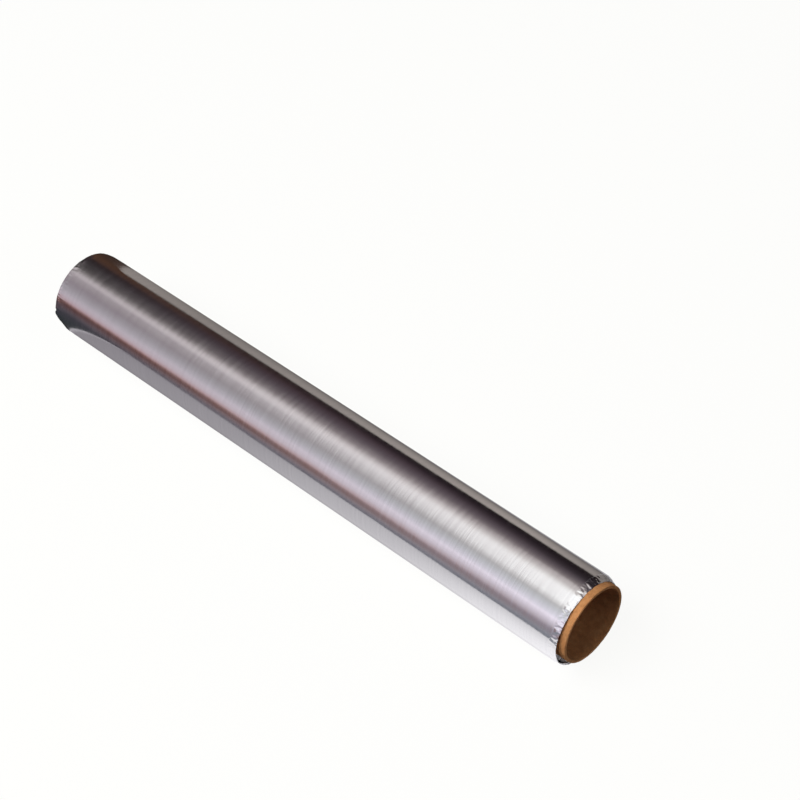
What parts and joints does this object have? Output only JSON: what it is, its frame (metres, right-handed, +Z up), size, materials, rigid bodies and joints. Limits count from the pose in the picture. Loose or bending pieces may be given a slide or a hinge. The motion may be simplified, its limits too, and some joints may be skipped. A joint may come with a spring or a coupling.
{
  "type": "aluminium foil roll",
  "caption": "Roll of bright household aluminium foil wound on an open kraft paper core that stands slightly proud at one end.",
  "frame": {"origin": "centre of the part's bounding box at its bottom, on the surface the roll lies on", "axes": "+X along the roll towards the end where the core stands proud of the foil, +Z up from the surface it lies on"},
  "size_m": [0.303, 0.0403, 0.04],
  "materials": {
    "foil": "bright rolled foil, shiny side out",
    "kraft": "matt spiral-wound kraft paper"
  },
  "bodies": {
    "root": {"core_tube": "kraft", "foil_winding": "foil"}
  },
  "joints": []
}
